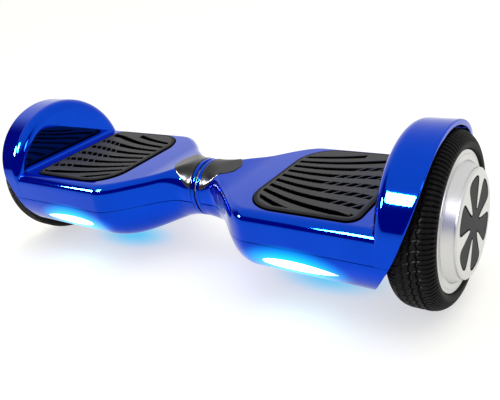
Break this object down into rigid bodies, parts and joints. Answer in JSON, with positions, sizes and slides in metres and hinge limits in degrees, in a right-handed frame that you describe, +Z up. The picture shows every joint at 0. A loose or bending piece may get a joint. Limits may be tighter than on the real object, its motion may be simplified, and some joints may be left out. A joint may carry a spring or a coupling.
{
  "type": "self balancing board",
  "caption": "Two-wheeled self-balancing board: twisting halves with chromed shells, rubber foot pads, hub-motor wheels, arches and lamps.",
  "frame": {"origin": "on the ground under the centre of the board", "axes": "+X along the axle line to the right-hand wheel, -Y the front with the lamps, +Z up"},
  "size_m": [0.584, 0.1754, 0.173],
  "materials": {
    "blue_chrome": "metallised mirror blue over moulded ABS",
    "pad_rubber": "moulded matte",
    "black_gloss": "polished moulded",
    "tyre_rubber": "moulded matte",
    "grey_paint": "satin moulded",
    "turned_aluminium": "fine turned",
    "cast_aluminium": "die cast",
    "lamp_lens": "frosted diffuser",
    "circuit_board": "solder mask",
    "pack_wrap": "heat-shrink wrap",
    "motor_iron": "laminated and wound",
    "steel": "ground",
    "bronze": "sintered",
    "button_metal": "satin",
    "black_plastic": "moulded matte"
  },
  "bodies": {
    "left_half": {"axle_clamp_left": "cast_aluminium", "axle_left": "steel", "balance_board_left": "circuit_board", "battery_pack": "pack_wrap", "bottom_cover_left": "blue_chrome", "centre_trim_left": "black_gloss", "chassis_left": "cast_aluminium", "cover_screw_left_1": "steel", "cover_screw_left_2": "steel", "cover_screw_left_3": "steel", "lamp_board_left": "circuit_board", "lamp_lens_left": "lamp_lens", "motor_lead_left": "black_plastic", "pad_support_left": "black_plastic", "pivot_harness": "black_plastic", "pivot_shaft": "steel", "stator_left": "motor_iron", "top_cover_left": "blue_chrome", "waist_ring_left": "blue_chrome", "waist_seal": "black_plastic"},
    "right_half": {"axle_clamp_right": "cast_aluminium", "axle_right": "steel", "balance_board_right": "circuit_board", "bottom_cover_right": "blue_chrome", "button_housing": "black_plastic", "centre_trim_right": "black_gloss", "charge_socket": "black_plastic", "chassis_right": "cast_aluminium", "control_board": "circuit_board", "cover_screw_right_1": "steel", "cover_screw_right_2": "steel", "cover_screw_right_3": "steel", "heat_plate": "cast_aluminium", "lamp_board_right": "circuit_board", "lamp_lens_right": "lamp_lens", "motor_lead_right": "black_plastic", "pad_support_right": "black_plastic", "pivot_bush": "bronze", "pivot_clip": "steel", "stator_right": "motor_iron", "top_cover_right": "blue_chrome", "waist_ring_right": "blue_chrome"},
    "left_wheel": {"bearing_inner_left": "steel", "bearing_outer_left": "steel", "hub_badge_left": "grey_paint", "hub_inner_cover_left": "turned_aluminium", "hub_shell_left": "turned_aluminium", "magnet_ring_left": "motor_iron", "tyre_left": "tyre_rubber"},
    "right_wheel": {"bearing_inner_right": "steel", "bearing_outer_right": "steel", "hub_badge_right": "grey_paint", "hub_inner_cover_right": "turned_aluminium", "hub_shell_right": "turned_aluminium", "magnet_ring_right": "motor_iron", "tyre_right": "tyre_rubber"},
    "left_pad": {"foot_pad_left": "pad_rubber"},
    "right_pad": {"foot_pad_right": "pad_rubber"},
    "power_button": {"power_button": "button_metal"},
    "charge_cap": {"charge_cap": "black_plastic"}
  },
  "joints": [
    {"name": "centre_twist", "type": "hinge", "parent": "left_half", "child": "right_half", "pos_m": [0, 0, 0.0825], "axis": [1, 0, 0], "range_deg": [-12, 12]},
    {"name": "left_wheel_spin", "type": "hinge", "parent": "left_half", "child": "left_wheel", "pos_m": [-0.26, 0, 0.0825], "axis": [1, 0, 0], "continuous": true},
    {"name": "right_wheel_spin", "type": "hinge", "parent": "right_half", "child": "right_wheel", "pos_m": [0.26, 0, 0.0825], "axis": [1, 0, 0], "continuous": true},
    {"name": "left_pad_press", "type": "slide", "parent": "left_half", "child": "left_pad", "axis": [0, 0, -1], "range_m": [0, 0.0015], "stiffness_N_per_m": 8000, "springref_m": -0.0003},
    {"name": "right_pad_press", "type": "slide", "parent": "right_half", "child": "right_pad", "axis": [0, 0, -1], "range_m": [0, 0.0015], "stiffness_N_per_m": 8000, "springref_m": -0.0003},
    {"name": "power_button_press", "type": "slide", "parent": "right_half", "child": "power_button", "axis": [0, -1, 0], "range_m": [0, 0.002], "stiffness_N_per_m": 600, "springref_m": -0.0004},
    {"name": "charge_cap_open", "type": "hinge", "parent": "right_half", "child": "charge_cap", "pos_m": [0.186, 0.0868, 0.0737], "axis": [1, 0, 0], "range_deg": [0, 110]}
  ]
}
